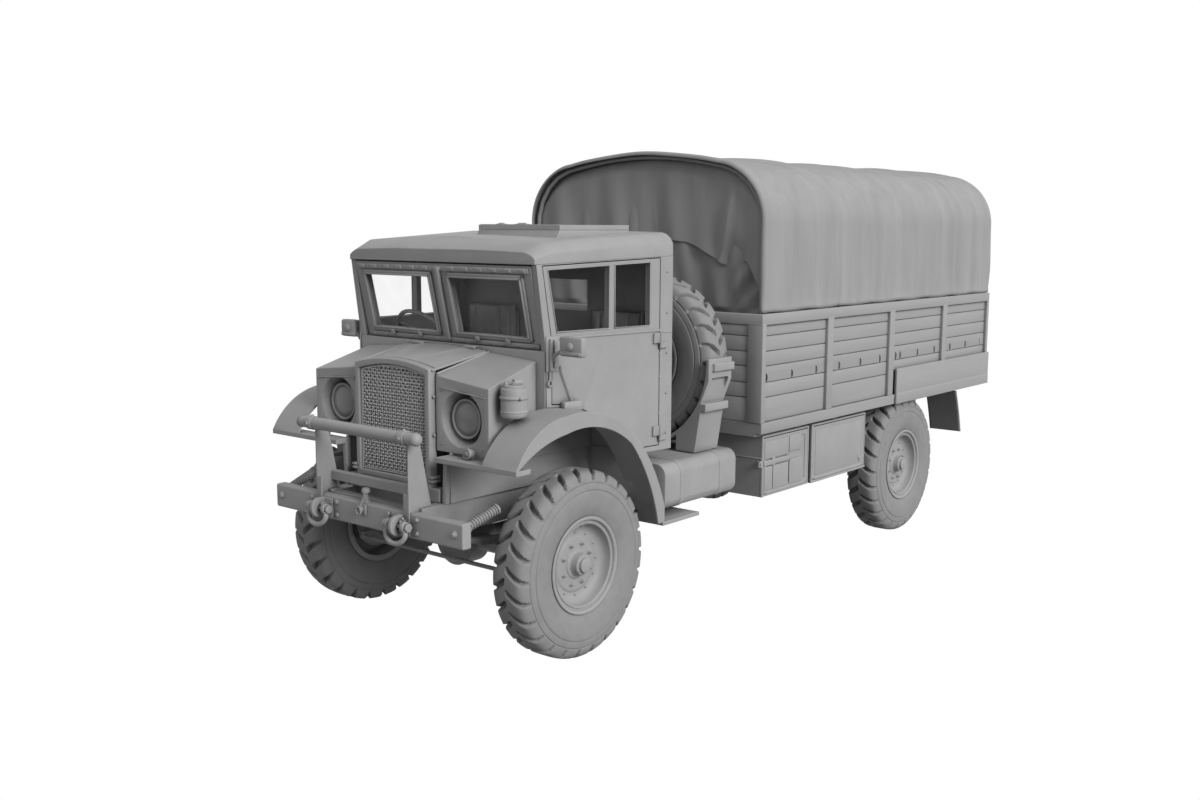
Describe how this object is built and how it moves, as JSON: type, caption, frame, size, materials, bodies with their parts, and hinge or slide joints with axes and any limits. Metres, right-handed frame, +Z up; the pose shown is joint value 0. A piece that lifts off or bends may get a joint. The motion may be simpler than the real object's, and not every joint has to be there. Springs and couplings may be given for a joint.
{
  "type": "four-wheel-drive military cargo truck with canvas canopy",
  "caption": "Forward-control cargo truck with a boxy steel cab, arched canvas canopy over planked sides, brush guard, side lockers and an upright spare wheel behind the cab.",
  "frame": {"origin": "on the ground, under the middle of the whole truck", "axes": "+Z up, the truck faces -Y and its left side is +X"},
  "size_m": [2.156, 6.4285, 2.994],
  "materials": {
    "body_paint": "matte",
    "chassis_paint": "matte",
    "tyre_rubber": "matte",
    "canvas": "matte",
    "glass": "gloss",
    "painted_timber": "matte",
    "trim_leather": "matte",
    "flap_rubber": "matte",
    "wire_mesh": "matte",
    "lamp_metal": "satin",
    "mechanical": "matte"
  },
  "bodies": {
    "chassis": {"air_cleaner": "body_paint", "brush_guard": "body_paint", "cab_floor": "body_paint", "cab_front": "body_paint", "cab_glass": "glass", "cab_roof": "body_paint", "cab_shell": "body_paint", "canopy": "canvas", "cargo_bed": "painted_timber", "cargo_sides": "painted_timber", "chassis_frame": "chassis_paint", "dashboard": "body_paint", "driveline": "mechanical", "engine_block": "mechanical", "exhaust": "mechanical", "fenders": "body_paint", "front_axle": "chassis_paint", "front_bumper": "body_paint", "fuel_tanks": "body_paint", "grille_mesh": "wire_mesh", "grille_surround": "body_paint", "lamps": "lamp_metal", "lockers": "body_paint", "mudflaps": "flap_rubber", "nose_boxes": "body_paint", "radiator": "mechanical", "rear_axle": "chassis_paint", "seats": "trim_leather", "spare_carrier": "body_paint", "spare_tyre": "tyre_rubber", "spare_wheel": "body_paint", "springs": "chassis_paint", "tow_fittings": "body_paint"},
    "knuckle_left": {"knuckle_left": "chassis_paint"},
    "knuckle_right": {"knuckle_right": "chassis_paint"},
    "tie_rod": {"tie_rod": "chassis_paint"},
    "front_left_wheel": {"tyre_front_left": "tyre_rubber", "wheel_front_left": "body_paint"},
    "front_right_wheel": {"tyre_front_right": "tyre_rubber", "wheel_front_right": "body_paint"},
    "rear_left_wheel": {"tyre_rear_left": "tyre_rubber", "wheel_rear_left": "body_paint"},
    "rear_right_wheel": {"tyre_rear_right": "tyre_rubber", "wheel_rear_right": "body_paint"},
    "steering_wheel": {"steering_wheel": "body_paint"},
    "door_left": {"door_left": "body_paint"},
    "door_right": {"door_right": "body_paint"},
    "bonnet_lid": {"bonnet_lid": "body_paint"},
    "hatch_lid": {"hatch_lid": "body_paint"},
    "tailgate": {"tailgate": "painted_timber"},
    "locker_door_left_front": {"locker_door_left_front": "body_paint"},
    "locker_door_left_rear": {"locker_door_left_rear": "body_paint"},
    "locker_door_right_front": {"locker_door_right_front": "body_paint"},
    "locker_door_right_rear": {"locker_door_right_rear": "body_paint"}
  },
  "joints": [
    {"name": "steer_left", "type": "hinge", "parent": "chassis", "child": "knuckle_left", "pos_m": [0.72, -2.33, 0.55], "axis": [0, 0, 1], "range_deg": [-28, 28]},
    {"name": "steer_right", "type": "hinge", "parent": "chassis", "child": "knuckle_right", "pos_m": [-0.72, -2.33, 0.55], "axis": [0, 0, 1], "range_deg": [-28, 28]},
    {"name": "tie_rod_pivot", "type": "hinge", "parent": "knuckle_left", "child": "tie_rod", "pos_m": [0.72, -2.53, 0.48], "axis": [0, 0, 1], "range_deg": [-28, 28]},
    {"name": "front_left_spin", "type": "hinge", "parent": "knuckle_left", "child": "front_left_wheel", "pos_m": [0.889, -2.33, 0.55], "axis": [1, 0, 0], "continuous": true},
    {"name": "front_right_spin", "type": "hinge", "parent": "knuckle_right", "child": "front_right_wheel", "pos_m": [-0.889, -2.33, 0.55], "axis": [1, 0, 0], "continuous": true},
    {"name": "rear_left_spin", "type": "hinge", "parent": "chassis", "child": "rear_left_wheel", "pos_m": [0.889, 1.69, 0.55], "axis": [1, 0, 0], "continuous": true},
    {"name": "rear_right_spin", "type": "hinge", "parent": "chassis", "child": "rear_right_wheel", "pos_m": [-0.889, 1.69, 0.55], "axis": [1, 0, 0], "continuous": true},
    {"name": "steering_wheel_turn", "type": "hinge", "parent": "chassis", "child": "steering_wheel", "pos_m": [-0.5, -2.15, 1.77], "axis": [0, 0.766, 0.6428], "range_deg": [-560, 560]},
    {"name": "door_left_hinge", "type": "hinge", "parent": "chassis", "child": "door_left", "pos_m": [0.91953, -1.52104, 1.5], "axis": [0, 0, 1], "range_deg": [0, 75]},
    {"name": "door_right_hinge", "type": "hinge", "parent": "chassis", "child": "door_right", "pos_m": [-0.91953, -1.52104, 1.5], "axis": [0, 0, 1], "range_deg": [-75, 0]},
    {"name": "bonnet_hinge", "type": "hinge", "parent": "chassis", "child": "bonnet_lid", "pos_m": [0, -2.461, 1.761], "axis": [1, 0, 0], "range_deg": [-45, 0]},
    {"name": "hatch_hinge", "type": "hinge", "parent": "chassis", "child": "hatch_lid", "pos_m": [-0.059, -1.795, 2.4613], "axis": [0, 1, 0], "range_deg": [-95, 0]},
    {"name": "tailgate_hinge", "type": "hinge", "parent": "chassis", "child": "tailgate", "pos_m": [0, 3.18, 1.171], "axis": [1, 0, 0], "range_deg": [-90, 0]},
    {"name": "locker_left_front_hinge", "type": "hinge", "parent": "chassis", "child": "locker_door_left_front", "pos_m": [1.02, -0.154, 0.661], "axis": [0, 1, 0], "range_deg": [0, 90]},
    {"name": "locker_left_rear_hinge", "type": "hinge", "parent": "chassis", "child": "locker_door_left_rear", "pos_m": [1.02, 0.583, 0.661], "axis": [0, 1, 0], "range_deg": [0, 90]},
    {"name": "locker_right_front_hinge", "type": "hinge", "parent": "chassis", "child": "locker_door_right_front", "pos_m": [-1.02, -0.154, 0.661], "axis": [0, 1, 0], "range_deg": [-90, 0]},
    {"name": "locker_right_rear_hinge", "type": "hinge", "parent": "chassis", "child": "locker_door_right_rear", "pos_m": [-1.02, 0.583, 0.661], "axis": [0, 1, 0], "range_deg": [-90, 0]}
  ],
  "couplings": [
    {"joint": "steer_right", "follows": "steer_left", "ratio": 1},
    {"joint": "tie_rod_pivot", "follows": "steer_left", "ratio": -1},
    {"joint": "steering_wheel_turn", "follows": "steer_left", "ratio": 20}
  ]
}
